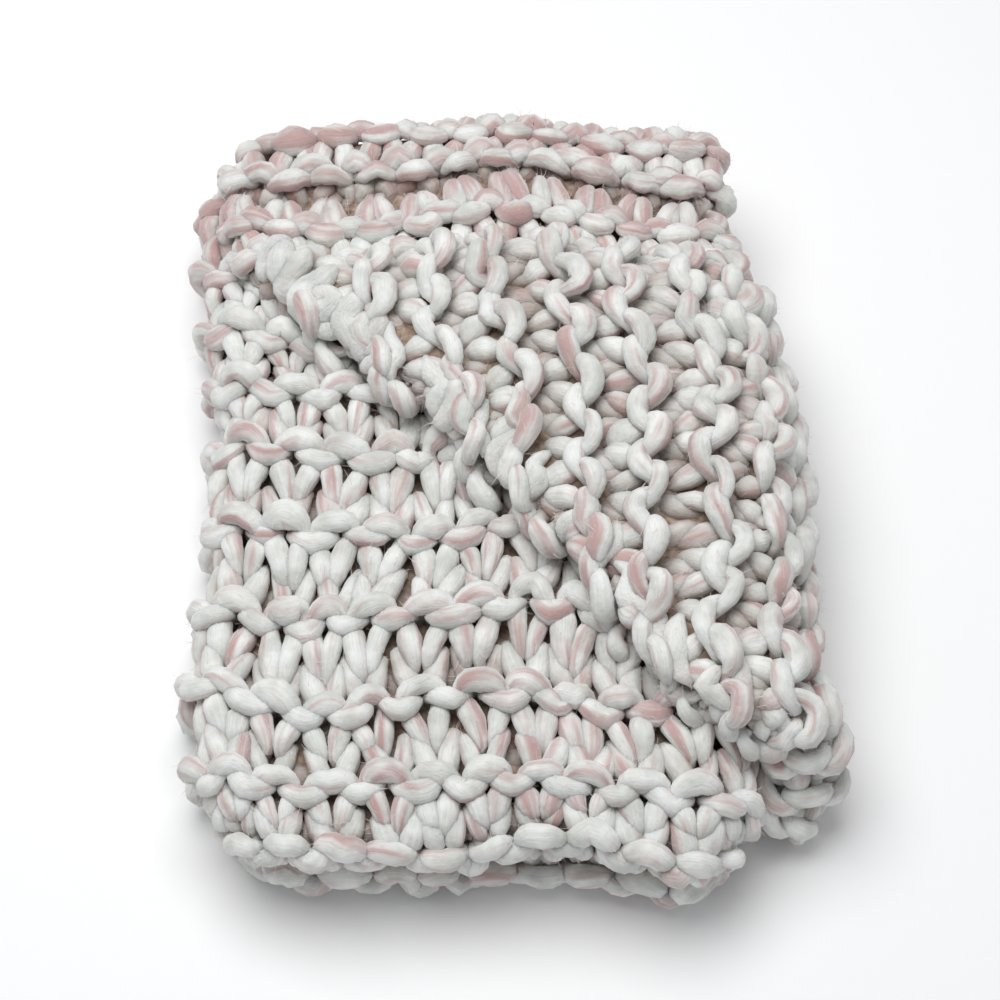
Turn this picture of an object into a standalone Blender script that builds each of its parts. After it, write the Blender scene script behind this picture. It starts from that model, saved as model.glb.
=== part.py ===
"""Chunky knit throw, folded into a low stack with its top corner turned back.

One piece of cloth.  It is laid back and forth in four full layers, then a fifth
layer is folded over along a slanting line, and the turned part runs across to
the right, over the side of the stack and down to the ground, where it curls in.

Metres, +Z up.  X runs along the courses of the knitting, Y along its wales, and
the origin is on the ground under the middle of the stack.
"""

import math
from collections import namedtuple

import bmesh
import bpy
from mathutils import Vector

# ---- driving sizes -------------------------------------------------------------
CLOTH = 0.0195            # thickness of the pressed knitting
LAYER_GAP = 0.003         # air between one layer and the next
PITCH = CLOTH + LAYER_GAP
FIRST_LEVEL = CLOTH / 2   # middle of the bottom layer

CORNER_SWING = 0.60       # how far a fold swings round its corner, as a sine
CORNER_TUCK = 0.010       # how far the sides draw in there, to make room for it
EDGE_ROUND = 0.010        # how far in from a side the cloth keeps thinning
EDGE_THIN = 0.55          # thickness left at the side, as a share of CLOTH
EDGE_COLUMN = 0.35        # where the extra mesh column there stands, as a share of EDGE_ROUND
SWELL_POWER = 3           # how squarely the sides come back out between two corners

TURN_LEFT = Vector((-0.125, 0.138, 0))   # the slanting fold: where it starts at the back
TURN_RIGHT = Vector((0.143, -0.193, 0))  # and where it ends at the right side
TURNED_DRAW_IN = 0.012    # how far the layer under the turned part draws in at the right

SHOULDER_RISE = 0.052     # height of the round shoulder over the right side
SHOULDER_START = 0.131    # where the turned part begins to bend down
SHOULDER_LEAST = 0.004    # shortest level run there, from the slanting fold to the bend
SIDE_REACH_BACK = 0.163   # middle of the hanging side, at its back end
SIDE_REACH_FRONT = 0.185  # and at its front end, where it flares
FLARE_POWER = 3           # how late along its length it flares
CURL_RISE = 0.034         # height of the curl at the foot of the hanging side
CURL_IN = 0.030           # how far the curl comes back under
SLIDE_BACK = 0.004        # how far forward the foot has slid, at its back end
SLIDE_FRONT = 0.036       # and at its front end

FLAT_STEPS = 7            # mesh steps along a flat layer
FOLD_STEPS = 6            # mesh steps round a half-circle fold
COLUMNS = 12              # mesh columns across the cloth, without its thin edges

# Where each layer ends, from the ground up: first the free edge of the bottom
# layer, then the folds.  The plan box is that of the fold's axis; skew is how much
# further it reaches at its right end.  The folds lie unevenly, so no two match.
Fold = namedtuple("Fold", "name left right reach skew corner")
FOLDS = (
    Fold("ground_edge", -0.180, 0.130, 0.231, 0.000, 0.030),
    Fold("low_front", -0.182, 0.136, -0.236, -0.012, 0.034),
    Fold("low_back", -0.184, 0.130, 0.227, 0.004, 0.030),
    Fold("high_front", -0.184, 0.138, -0.247, -0.006, 0.034),
    Fold("high_back", -0.158, 0.152, 0.224, 0.006, 0.026),
)

# Slow waves that leave the stack uneven: what they move, how far, how long a wave
# is, which way it runs in plan (degrees from X), and where it starts (degrees).
Wave = namedtuple("Wave", "moves size length heading start")
WAVES = (
    Wave("x", 0.0060, 0.330, 90, 85),
    Wave("x", 0.0018, 0.110, 90, 30),
    Wave("y", 0.0060, 0.215, 0, 72),
    Wave("y", 0.0015, 0.100, 0, 10),
    Wave("height", 0.030, 0.210, 40, 250),
    Wave("height", 0.018, 0.120, 115, 40),
)

BACK_LEAN = 0.030         # how far left the stack leans, for each metre back
CENTRING = Vector((0.0006, 0.0105, 0))  # brings the origin under the stack's middle
CROWN_X = 0.055           # share of the height lost at the left and right sides
CROWN_Y = 0.060           # share of the height lost at the front and back
CROWN_MOST = 0.12         # most that is lost anywhere
CROWN_POWER = 4           # how flat the crown is over the middle
HALF_WIDTH = 0.19         # from the middle to the left or right side
HALF_DEPTH = 0.25         # from the middle to the front or back

YARN_COLOUR = (0.80, 0.77, 0.74, 1.0)
YARN_ROUGHNESS = 0.9

Station = namedtuple("Station", "point normal")


# ---- small helpers -------------------------------------------------------------
def mix(start, end, share):
    """The value a share of the way from start to end."""
    return start + (end - start) * share


def fold_end(share, fold):
    """Where a column of cloth meets a fold, and the level way the fold bulges there."""
    x = mix(fold.left, fold.right, share)
    reach = fold.reach + fold.skew * share
    ahead = math.copysign(1, reach)
    sideways = -1 if share < 0.5 else 1
    inside = min(x - fold.left, fold.right - x)
    sine = min(max(1 - inside / fold.corner, 0.0), 1.0)
    setback = fold.corner * (1 - math.sqrt(1 - sine ** 2))
    swing = min(sine, CORNER_SWING)
    outward = Vector((sideways * swing, ahead * math.sqrt(1 - swing ** 2), 0))
    end = Vector((x - outward.x * CORNER_TUCK, reach - ahead * setback, 0))
    return end, outward


def across_shares():
    """Shares across the cloth, with extra columns where its sides thin out."""
    width = FOLDS[0].right - FOLDS[0].left
    rim = EDGE_ROUND / width
    inner = [mix(rim, 1 - rim, i / COLUMNS) for i in range(COLUMNS + 1)]
    return [0.0, rim * EDGE_COLUMN] + inner + [1 - rim * EDGE_COLUMN, 1.0]


def thickness_at(share):
    """Cloth thickness at a share across: full inside, rounded off at the sides."""
    width = FOLDS[0].right - FOLDS[0].left
    inside = min(share, 1 - share) * width
    short = max(1 - inside / EDGE_ROUND, 0.0)
    return CLOTH * mix(EDGE_THIN, 1.0, math.sqrt(1 - short ** 2))


# ---- the path of one column of the cloth ----------------------------------------
def level(number):
    """Height of the middle of a layer, counted from 0 at the ground."""
    return FIRST_LEVEL + number * PITCH


def flat_run(start, end, height, facing, swell=0.0):
    """Stations along a flat run, ends left out; its middle swells sideways to +X."""
    stations = []
    for i in range(1, FLAT_STEPS):
        plan = start.lerp(end, i / FLAT_STEPS)
        plan.x += swell * (1 - abs(2 * i / FLAT_STEPS - 1) ** SWELL_POWER)
        stations.append(Station(Vector((plan.x, plan.y, height)), Vector((0, 0, facing))))
    return stations


def half_fold(axis, low, outward, facing):
    """Stations round a half-circle fold, from one layer up to the next."""
    radius = PITCH / 2
    stations = []
    for i in range(FOLD_STEPS + 1):
        angle = math.pi * i / FOLD_STEPS
        away = outward * math.sin(angle) + Vector((0, 0, -math.cos(angle)))
        point = Vector((axis.x, axis.y, low + radius)) + away * radius
        stations.append(Station(point, away * -facing))
    return stations


def turn_outward():
    """The level direction that the slanting fold bulges in."""
    along = TURN_RIGHT - TURN_LEFT
    return Vector((along.y, -along.x, 0)).normalized()


def hanging_run(start, share):
    """Stations of the turned part: across the top, over the side and in again."""
    top = level(len(FOLDS))
    bend = max(SHOULDER_START, start.x + SHOULDER_LEAST)
    reach = mix(SIDE_REACH_BACK, SIDE_REACH_FRONT, share ** FLARE_POWER)
    slide = mix(SLIDE_BACK, SLIDE_FRONT, share)
    stations = flat_run(start, Vector((bend, start.y, 0)), top, -1)
    across = reach - bend
    for i in range(FOLD_STEPS + 1):
        angle = math.pi / 2 * i / FOLD_STEPS
        x = bend + across * math.sin(angle)
        drop = SHOULDER_RISE * (1 - math.cos(angle))
        point = Vector((x, start.y - slide * drop / top, top - drop))
        out = Vector((SHOULDER_RISE * math.sin(angle), 0, across * math.cos(angle)))
        stations.append(Station(point, -out.normalized()))
    foot = FIRST_LEVEL + CURL_RISE
    for i in range(FOLD_STEPS + 1):
        angle = math.pi / 2 * i / FOLD_STEPS
        x = reach - CURL_IN * (1 - math.cos(angle))
        height = foot - CURL_RISE * math.sin(angle)
        point = Vector((x, start.y - slide * (1 - height / top), height))
        out = Vector((CURL_RISE * math.cos(angle), 0, -CURL_IN * math.sin(angle)))
        stations.append(Station(point, -out.normalized()))
    return stations


def column_path(share):
    """All stations of the column of cloth at a share of the way across."""
    start, outward = fold_end(share, FOLDS[0])
    path = [Station(start + Vector((0, 0, level(0))), Vector((0, 0, 1)))]
    for number, fold in enumerate(FOLDS[1:]):
        end, next_outward = fold_end(share, fold)
        facing = 1 if number % 2 == 0 else -1
        swell = (outward.x + next_outward.x) / 2 * CORNER_TUCK
        path += flat_run(start, end, level(number), facing, swell)
        path += half_fold(end, level(number), next_outward, facing)
        start, outward = end, next_outward
    turned = len(FOLDS) - 1
    turn = TURN_LEFT.lerp(TURN_RIGHT, share)
    path += flat_run(start, turn, level(turned), 1, -TURNED_DRAW_IN * share)
    path += half_fold(turn, level(turned), turn_outward(), 1)
    return path + hanging_run(turn, share)


# ---- the finished cloth -----------------------------------------------------------
def settle(point):
    """Move a point of the even stack to where the uneven, crowned stack has it."""
    shift = {"x": 0.0, "y": 0.0, "height": 0.0}
    for wave in WAVES:
        heading = math.radians(wave.heading)
        along = point.x * math.cos(heading) + point.y * math.sin(heading)
        phase = 2 * math.pi * along / wave.length + math.radians(wave.start)
        shift[wave.moves] += wave.size * math.sin(phase)
    crown = CROWN_X * (point.x / HALF_WIDTH) ** CROWN_POWER
    crown += CROWN_Y * (point.y / HALF_DEPTH) ** CROWN_POWER
    height = point.z * (1 + shift["height"] - min(crown, CROWN_MOST))
    lean = -BACK_LEAN * point.y
    moved = Vector((point.x + shift["x"] + lean, point.y + shift["y"], height))
    return moved + CENTRING


def cloth_mesh():
    """The closed solid: both faces of the cloth and the rim that joins them."""
    shares = across_shares()
    grid = bmesh.new()
    faces = {}
    for side in (1, -1):
        faces[side] = []
        for share in shares:
            half = thickness_at(share) / 2 * side
            points = [settle(s.point + s.normal * half) for s in column_path(share)]
            faces[side].append([grid.verts.new(p) for p in points])
    rows = len(faces[1][0])
    for c in range(len(shares) - 1):
        for r in range(rows - 1):
            for side, verts in faces.items():
                quad = [verts[c][r], verts[c + 1][r], verts[c + 1][r + 1], verts[c][r + 1]]
                grid.faces.new(quad if side == 1 else reversed(quad))
    add_rim(grid, faces, len(shares), rows)
    bmesh.ops.recalc_face_normals(grid, faces=grid.faces)
    mesh = bpy.data.meshes.new("blanket")
    grid.to_mesh(mesh)
    grid.free()
    return mesh


def add_rim(grid, faces, columns, rows):
    """Close the cloth all the way round its edge."""
    edge = [(0, r) for r in range(rows)]
    edge += [(c, rows - 1) for c in range(1, columns)]
    edge += [(columns - 1, r) for r in range(rows - 2, -1, -1)]
    edge += [(c, 0) for c in range(columns - 2, 0, -1)]
    for (c0, r0), (c1, r1) in zip(edge, edge[1:] + edge[:1]):
        grid.faces.new([faces[1][c0][r0], faces[1][c1][r1],
                        faces[-1][c1][r1], faces[-1][c0][r0]])


def yarn_material():
    """Matt off-white yarn with a little pink in it."""
    material = bpy.data.materials.new("roving_yarn")
    material.use_nodes = True
    shader = material.node_tree.nodes["Principled BSDF"]
    shader.inputs["Base Color"].default_value = YARN_COLOUR
    shader.inputs["Roughness"].default_value = YARN_ROUGHNESS
    shader.inputs["Metallic"].default_value = 0.0
    return material


def main():
    for thing in list(bpy.data.objects):
        bpy.data.objects.remove(thing)
    mesh = cloth_mesh()
    mesh.shade_smooth()
    mesh.materials.append(yarn_material())
    blanket = bpy.data.objects.new("blanket", mesh)
    bpy.context.collection.objects.link(blanket)


main()
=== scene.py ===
import math
import random
from collections import namedtuple

import bpy
import numpy as np
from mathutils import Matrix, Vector


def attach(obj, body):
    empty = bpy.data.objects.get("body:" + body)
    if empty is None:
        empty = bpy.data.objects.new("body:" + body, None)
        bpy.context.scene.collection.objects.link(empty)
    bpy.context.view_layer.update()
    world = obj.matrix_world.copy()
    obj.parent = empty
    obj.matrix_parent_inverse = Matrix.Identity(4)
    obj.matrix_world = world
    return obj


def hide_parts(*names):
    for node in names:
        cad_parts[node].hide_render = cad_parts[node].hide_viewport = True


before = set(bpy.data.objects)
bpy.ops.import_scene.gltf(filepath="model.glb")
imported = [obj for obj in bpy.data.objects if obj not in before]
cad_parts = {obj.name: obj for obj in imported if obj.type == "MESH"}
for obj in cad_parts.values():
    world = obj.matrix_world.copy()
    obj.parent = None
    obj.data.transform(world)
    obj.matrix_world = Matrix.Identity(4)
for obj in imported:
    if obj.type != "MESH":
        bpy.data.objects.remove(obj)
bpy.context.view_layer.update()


# ---- The cloth, folded ------------------------------------------------------------
# One piece of knitting, laid back and forth in four layers, then a fifth whose front
# corner is turned back over the top and hangs down the right side.  This is its inner
# web: the sheet that all the stitches stand on, seen only down in the gaps.
CLOTH = 0.0195          # thickness of the pressed knitting
PITCH = 0.0225          # from one layer to the next
FIRST_LEVEL = CLOTH / 2
WEB_INSET = 0.011       # the web lies this far inside the folds
WEB_SIDE_INSET = 0.022  # and inside the side edges
WEB_DROP = 0.0080       # and this far below the middle of the upper layers
WEB_LIFT_AT = 0.225     # but it comes up again at the back,
WEB_LIFT_OVER = 0.035   # over this distance,
WEB_LEAST_DROP = 0.3    # to this share
WEB_TURN_INSET = 0.006  # it lies this far inside the turned corner
WEB_THICKNESS = 0.003
CORNER_SWING = 0.60     # most that a fold's bulge turns outwards at its corners
CORNER_TUCK = 0.010     # and how far its axis is drawn in there
TURN_LEFT = Vector((-0.125, 0.138, 0))     # the slanting fold, from the back
TURN_RIGHT = Vector((0.143, -0.193, 0))    # to the front
TURN_SPAN = (0.09, 0.97)    # shares of the slanting fold between which the web lies
SHOULDER_RISE = 0.052   # the turned part's round shoulder over the right side
SHOULDER_START = 0.131
SHOULDER_LEAST = 0.004      # it is level for at least this far before it falls
SIDE_REACH_BACK = 0.163     # how far right it hangs, at the back and at the front
SIDE_REACH_FRONT = 0.185
FLARE_POWER = 3         # most of that change is near the front
CURL_RISE = 0.034       # its foot curls in under it
CURL_IN = 0.030
SLIDE_BACK = 0.004      # and it slides forward as it falls
SLIDE_FRONT = 0.036
FLAT_STEPS = 10         # steps of the web along a layer, round a fold and across
FOLD_STEPS = 8
COLUMNS = 20

# The ends of the layers from the ground up: left and right sides, how far each reaches
# (forward is negative), how much further at its right side, and its corners' radius.
Fold = namedtuple("Fold", "left right reach skew corner")
FOLDS = (
    Fold(-0.180, 0.130, 0.205, 0.000, 0.030),       # the edge on the ground, at the back
    Fold(-0.182, 0.136, -0.236, -0.012, 0.034),     # the low front fold
    Fold(-0.184, 0.130, 0.227, 0.004, 0.030),       # the low back fold
    Fold(-0.184, 0.138, -0.247, -0.006, 0.034),     # the high front fold
    Fold(-0.158, 0.152, 0.230, 0.006, 0.026),       # the high back fold
)

# The slow waves that leave the stack uneven: what they move, how far, how long a wave
# is, which way it runs (degrees from X), and where it starts (degrees).
Wave = namedtuple("Wave", "moves size length heading start")
WAVES = (
    Wave("x", 0.0060, 0.330, 90, 85),
    Wave("x", 0.0018, 0.110, 90, 30),
    Wave("y", 0.0060, 0.215, 0, 72),
    Wave("y", 0.0015, 0.100, 0, 10),
    Wave("height", 0.030, 0.210, 40, 250),
    Wave("height", 0.018, 0.120, 115, 40),
)
BACK_LEAN = 0.030       # the stack leans to the left towards the back
CENTRING = np.array((0.0006, 0.0105, 0))    # brings its middle over the origin
CROWN_X = 0.055         # shares of its height that it loses at its sides,
CROWN_Y = 0.060         # at its front and back,
CROWN_MOST = 0.12       # and anywhere at most
CROWN_POWER = 4
HALF_WIDTH = 0.19
HALF_DEPTH = 0.25


def settle(points):
    """Move points of the even stack to where the uneven, crowned stack has them."""
    x, y, z = np.asarray(points, dtype=float).T
    shift = {"x": 0.0, "y": 0.0, "height": 0.0}
    for wave in WAVES:
        heading = math.radians(wave.heading)
        along = x * math.cos(heading) + y * math.sin(heading)
        phase = math.tau * along / wave.length + math.radians(wave.start)
        shift[wave.moves] = shift[wave.moves] + wave.size * np.sin(phase)
    crown = CROWN_X * (x / HALF_WIDTH) ** CROWN_POWER + CROWN_Y * (y / HALF_DEPTH) ** CROWN_POWER
    height = z * (1 + shift["height"] - np.minimum(crown, CROWN_MOST))
    moved = np.stack((x + shift["x"] - BACK_LEAN * y, y + shift["y"], height), axis=1)
    return moved + CENTRING


def mix(start, end, share):
    """The value a share of the way from start to end."""
    return start + (end - start) * share


def level(number):
    """Height of the middle of a layer, counted from 0 at the ground."""
    return FIRST_LEVEL + number * PITCH


def fold_end(share, fold):
    """Where a column of the web meets a fold, and the way the fold bulges there."""
    x = mix(fold.left + WEB_SIDE_INSET, fold.right - WEB_SIDE_INSET, share)
    reach = fold.reach + fold.skew * share
    ahead = math.copysign(1, reach)
    inside = min(x - fold.left, fold.right - x)
    sine = min(max(1 - inside / fold.corner, 0.0), 1.0)
    setback = fold.corner * (1 - math.sqrt(1 - sine ** 2)) + WEB_INSET
    swing = min(sine, CORNER_SWING)
    outward = Vector(((-1 if share < 0.5 else 1) * swing, ahead * math.sqrt(1 - swing ** 2), 0))
    return Vector((x - outward.x * CORNER_TUCK, reach - ahead * setback, 0)), outward


def half_fold(axis, low, outward):
    """Points round a half-circle fold, from one layer up to the next."""
    middle = Vector((axis.x, axis.y, low + PITCH / 2))
    angles = [math.pi * i / FOLD_STEPS for i in range(FOLD_STEPS + 1)]
    return [middle + (outward * math.sin(a) - Vector((0, 0, math.cos(a)))) * PITCH / 2
            for a in angles]


def web_column(share):
    """The column of the web at a share of the way across, from the ground to its foot."""
    start, outward = fold_end(share, FOLDS[0])
    path = [start + Vector((0, 0, level(0)))]
    ends = [fold_end(share, fold) for fold in FOLDS[1:]]
    turn = TURN_LEFT.lerp(TURN_RIGHT, mix(*TURN_SPAN, share)) + Vector((WEB_TURN_INSET, 0, 0))
    slant = TURN_RIGHT - TURN_LEFT
    ends.append((turn, Vector((slant.y, -slant.x, 0)).normalized()))
    for number, (end, bulge) in enumerate(ends):
        for i in range(1, FLAT_STEPS):
            path.append(start.lerp(end, i / FLAT_STEPS) + Vector((0, 0, level(number))))
        path += half_fold(end, level(number), bulge)
        start = end
    top = level(len(FOLDS))
    bend = max(SHOULDER_START, turn.x + SHOULDER_LEAST)
    reach = mix(SIDE_REACH_BACK, SIDE_REACH_FRONT, share ** FLARE_POWER) - WEB_TURN_INSET
    slide = mix(SLIDE_BACK, SLIDE_FRONT, share)
    for i in range(1, FLAT_STEPS):
        path.append(Vector((mix(turn.x, bend, i / FLAT_STEPS), turn.y, top)))
    for i in range(FOLD_STEPS + 1):
        angle = math.pi / 2 * i / FOLD_STEPS
        drop = SHOULDER_RISE * (1 - math.cos(angle))
        x = bend + (reach - bend) * math.sin(angle)
        path.append(Vector((x, turn.y - slide * drop / top, top - drop)))
    for i in range(FOLD_STEPS + 1):
        angle = math.pi / 2 * i / FOLD_STEPS
        height = FIRST_LEVEL + CURL_RISE * (1 - math.sin(angle))
        x = reach - CURL_IN * (1 - math.cos(angle))
        path.append(Vector((x, turn.y - slide * (1 - height / top), height)))
    return path


def linear(colour):
    """A linear colour from its sRGB hex value."""
    parts = [int(colour[i:i + 2], 16) / 255 for i in (1, 3, 5)]
    parts = [p / 12.92 if p <= 0.04045 else ((p + 0.055) / 1.055) ** 2.4 for p in parts]
    return (*parts, 1.0)


def add_node(material, kind, settings=None, inputs=None, links=None):
    """Add a node of that kind, with its settings, its socket values and its links."""
    node = material.node_tree.nodes.new(kind)
    for name, value in (settings or {}).items():
        setattr(node, name, value)
    for name, value in (inputs or {}).items():
        node.inputs[name].default_value = value
    for name, socket in (links or {}).items():
        material.node_tree.links.new(socket, node.inputs[name])
    return node


def new_material(name):
    """An empty node material and its Principled shader."""
    material = bpy.data.materials.new(name)
    material.use_nodes = True
    return material, material.node_tree.nodes["Principled BSDF"]


def per_metre(millimetres):
    """How many times a pattern of that size repeats in a metre."""
    return 1000 / millimetres


# Inner web: the same yarn deep in the gaps, in clumps of 5 mm, coloured brown-grey dark as painted
# shade, since almost no light falls there.  It shows as a brown-grey dark between the stitches.
painted_shade_web, shader = new_material("web_with_painted_gap_shade")
where = add_node(painted_shade_web, "ShaderNodeTexCoord")
clumps = add_node(painted_shade_web, "ShaderNodeTexNoise", inputs={"Scale": per_metre(5), "Detail": 4.0},
                  links={"Vector": where.outputs["Object"]})
# Painted shade: the web's colours run from dark to mid brown-grey, darker than the yarn, in place of the
# shade in the gaps.
painted_shade_ramp = add_node(painted_shade_web, "ShaderNodeValToRGB", links={"Fac": clumps.outputs["Fac"]})
painted_shade_ramp.color_ramp.elements[0].position = 0.35
painted_shade_ramp.color_ramp.elements[0].color = linear("#7a6656")
painted_shade_ramp.color_ramp.elements[1].position = 0.70
painted_shade_ramp.color_ramp.elements[1].color = linear("#b8a595")
dents = add_node(painted_shade_web, "ShaderNodeBump", inputs={"Strength": 0.6, "Distance": 0.002},
                 links={"Height": clumps.outputs["Fac"]})
painted_shade_web.node_tree.links.new(painted_shade_ramp.outputs["Color"], shader.inputs["Base Color"])
painted_shade_web.node_tree.links.new(dents.outputs["Normal"], shader.inputs["Normal"])
shader.inputs["Roughness"].default_value = 1.0

columns = [web_column(i / COLUMNS) for i in range(COLUMNS + 1)]
web_points = np.array([[tuple(p) for p in column] for column in columns])
rows = web_points.shape[1]
web_points = web_points.reshape(-1, 3)
drop = WEB_DROP * np.clip((WEB_LIFT_AT - web_points[:, 1]) / WEB_LIFT_OVER, WEB_LEAST_DROP, 1)
web_points[:, 2] -= drop * np.clip((web_points[:, 2] - level(1)) / PITCH, 0, 1)
web_faces = [(c * rows + r, (c + 1) * rows + r, (c + 1) * rows + r + 1, c * rows + r + 1)
             for c in range(COLUMNS) for r in range(rows - 1)]
web_mesh = bpy.data.meshes.new("cloth_web")
web_mesh.from_pydata(settle(web_points).tolist(), [], web_faces)
web_mesh.shade_smooth()
web_mesh.materials.append(painted_shade_web)
web = bpy.data.objects.new("cloth_web", web_mesh)
bpy.context.collection.objects.link(web)
bpy.ops.object.select_all(action="DESELECT")
bpy.context.view_layer.objects.active = web
web.select_set(True)
solidify = web.modifiers.new("thickness", "SOLIDIFY")
solidify.thickness = WEB_THICKNESS
solidify.offset = 0
bpy.ops.object.modifier_apply(modifier=solidify.name)
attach(web, "root")
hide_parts("blanket")


# ---- The upper fold of the stack ----------------------------------------------------
# The big field of knitting at the front left, made of thick low-twist roving: two knit
# rows and a purl row, over and over.  It rolls down over the front and the sides.
GAUGE = 0.029           # width of a stitch
YARN_RADIUS = 0.0063    # of the yarn where it lies easy
BEND_RADIUS = 0.017     # radius at which the knitting keeps its length round a fold
YARN_LIFT = -0.0015     # the stitches lie a little into the layer's middle
SPACING = 0.0036        # between the rings of a strand
SIDES = 12              # of a strand that shows well
SHORTEST_RUN = 6        # rings of the shortest stretch of a strand that is kept
END_TAPER = (0.45, 0.85)    # shares of the radius at a strand's last ring and the one before
CURVE_STEPS = 6         # of the smooth curve between two of its controls
FLOOR_PRESS = 0.004     # how soon the floor flattens the yarn that rests on it
SLUB_LENGTH = 0.019     # of the lumps in the unevenly spun yarn
SLUB_SIZE = 0.07        # their height, as a share of the yarn's radius
SLUB_TURNS = (1.7, 2.3) # how much two sets of them wind round the yarn,
SLUB_BEAT = 1.6         # and how much longer the second set is
YARN_FLATNESS = 0.95    # the yarn is a little flatter than it is wide
STRAND_GAP = 0.37       # length of yarn between the end of one strand and the next
FULLER = 0.12           # how much stitches differ: in thickness,
NUDGE = 0.050           # in place, in gauges,
LEAN = 0.14             # and in how far they lean, in gauges
DRIFT = (0.0030, 0.11)  # slow drift of the rows, and the length of its waves
SWELL = (0.09, 0.035)   # slow swelling of a strand, and the length of its waves
RIDGE_WAVE = 0.16       # length of the waves in a ridge
WANDER_WAVES = 6        # waves that a slow drift is made of,
WANDER_LENGTHS = (0.7, 1.6)     # shares of its length that they take,
WANDER_SUM = 2.4        # and about how high they add up
SEED = 20

# Half of a stitch in each kind of row, from the middle of one sinker to the top of the
# head, as the face shows it; the other half is its mirror.  across: share of the stitch
# width; row: share of the way from this row's line to the next; ahead: distance past
# that, up: height over the cloth's middle (both in gauges); thick: share of the radius.
Bend = namedtuple("Bend", "across row ahead up thick")
AFTER_PURL = (
    Bend(0.00, 0.00, -0.14, -0.33, 1.20),
    Bend(0.17, 0.00, -0.10, -0.29, 1.08),
    Bend(0.30, 0.00, -0.06, -0.10, 0.66),
    Bend(0.33, 0.10, 0.03, 0.05, 0.86),
    Bend(0.27, 0.55, 0.02, 0.10, 1.04),
    Bend(0.19, 1.00, 0.06, 0.08, 0.98),
    Bend(0.13, 1.00, 0.32, 0.00, 0.82),
    Bend(0.12, 1.00, 0.40, -0.14, 0.72),
    Bend(0.25, 1.00, 0.28, -0.30, 0.88),
    Bend(0.50, 1.00, 0.17, -0.36, 1.20),
)
BEFORE_PURL = (
    Bend(0.00, 0.00, -0.14, -0.33, 1.20),
    Bend(0.17, 0.00, -0.10, -0.29, 1.08),
    Bend(0.31, 0.00, -0.05, -0.14, 0.64),
    Bend(0.39, 0.00, 0.00, 0.06, 0.52),
    Bend(0.37, 0.13, 0.00, 0.14, 0.76),
    Bend(0.32, 0.34, 0.00, 0.19, 0.98),
    Bend(0.26, 0.57, 0.00, 0.18, 1.10),
    Bend(0.20, 0.80, 0.00, 0.10, 0.96),
    Bend(0.12, 1.00, 0.00, 0.22, 0.72),
    Bend(0.27, 1.00, 0.13, 0.41, 1.08),
    Bend(0.50, 1.00, 0.17, 0.45, 1.22),
)
PURL = (
    Bend(0.00, 0.00, -0.21, 0.35, 1.10),
    Bend(0.19, 0.00, -0.17, 0.33, 1.02),
    Bend(0.35, 0.00, -0.02, 0.22, 0.72),
    Bend(0.38, 0.12, 0.05, -0.02, 0.64),
    Bend(0.36, 0.32, 0.04, -0.17, 1.00),
    Bend(0.30, 0.62, 0.00, -0.22, 1.16),
    Bend(0.24, 0.86, -0.02, -0.20, 0.98),
    Bend(0.15, 1.00, 0.00, -0.26, 0.70),
    Bend(0.28, 1.00, 0.10, -0.33, 0.98),
    Bend(0.50, 1.00, 0.14, -0.37, 1.20),
)
OPEN_ROWS = (PURL, AFTER_PURL, BEFORE_PURL)
NUDGED_FROM = 0.3       # only bends further across than this are nudged along the columns

# The line of a ridge of purl bumps over a field: where it lies, how it leans, how far it
# waves and where the wave starts, in turns.
Ridge = namedtuple("Ridge", "at lean wave start")


def wander(points, seed, size, length):
    """A slow uneven shift of two numbers for each point, the same for close points."""
    dice = random.Random(seed)
    shift = np.zeros((len(points), 2))
    for _ in range(WANDER_WAVES):
        heading = dice.uniform(0, math.tau)
        wave = length * dice.uniform(*WANDER_LENGTHS)
        along = points[:, 0] * math.cos(heading) + points[:, 1] * math.sin(heading)
        for k in range(2):
            shift[:, k] += np.sin(math.tau * (along / wave + dice.random())) * size / WANDER_SUM
    return shift


def smooth_run(controls, spacing):
    """Points at an even spacing on a smooth curve through the controls."""
    padded = np.vstack((2 * controls[0] - controls[1], controls, 2 * controls[-1] - controls[-2]))
    t = np.linspace(0, 1, CURVE_STEPS, endpoint=False)[None, :, None]
    p0, p1, p2, p3 = (padded[i:len(padded) - 3 + i, None, :] for i in range(4))
    fine = 0.5 * (2 * p1 + (p2 - p0) * t + (2 * p0 - 5 * p1 + 4 * p2 - p3) * t ** 2
                  + (3 * p1 - p0 - 3 * p2 + p3) * t ** 3)
    fine = np.vstack((fine.reshape(-1, controls.shape[1]), controls[-1]))
    steps = np.linalg.norm(np.diff(fine[:, :3], axis=0), axis=1)
    length = np.concatenate(([0], np.cumsum(steps)))
    even = np.linspace(0, length[-1], max(int(length[-1] / spacing), 4))
    return np.stack([np.interp(even, length, column) for column in fine.T], axis=1)


def knit_row(kind, lines, wales, width, face, heading, dice):
    """Controls of one row: along the row, along the columns of stitches, up, thickness."""
    controls = []
    for number in range(*wales):
        fuller = dice.gauss(1, FULLER)
        nudge = [dice.gauss(0, NUDGE) for _ in range(3)]
        lean = dice.gauss(0, LEAN)
        halves = [(bend, 1) for bend in kind] + [(bend, -1) for bend in kind[-2:0:-1]]
        for bend, side in halves:
            across = bend.across if side > 0 else 1 - bend.across
            u = (number + across + nudge[0] * (bend.across > 0)) * width
            line = mix(lines[0](u), lines[1](u), bend.row)
            ahead = bend.ahead + nudge[1] * (bend.across > NUDGED_FROM) + lean * (across - 0.5)
            up = bend.up + nudge[2] * (bend.up > 0)
            thick = bend.thick * mix(1, fuller, min(bend.across * 3, 1))
            controls.append((u, line + ahead * GAUGE * heading, up * face * GAUGE + YARN_LIFT,
                             thick * YARN_RADIUS))
    return np.array(controls)


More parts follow.
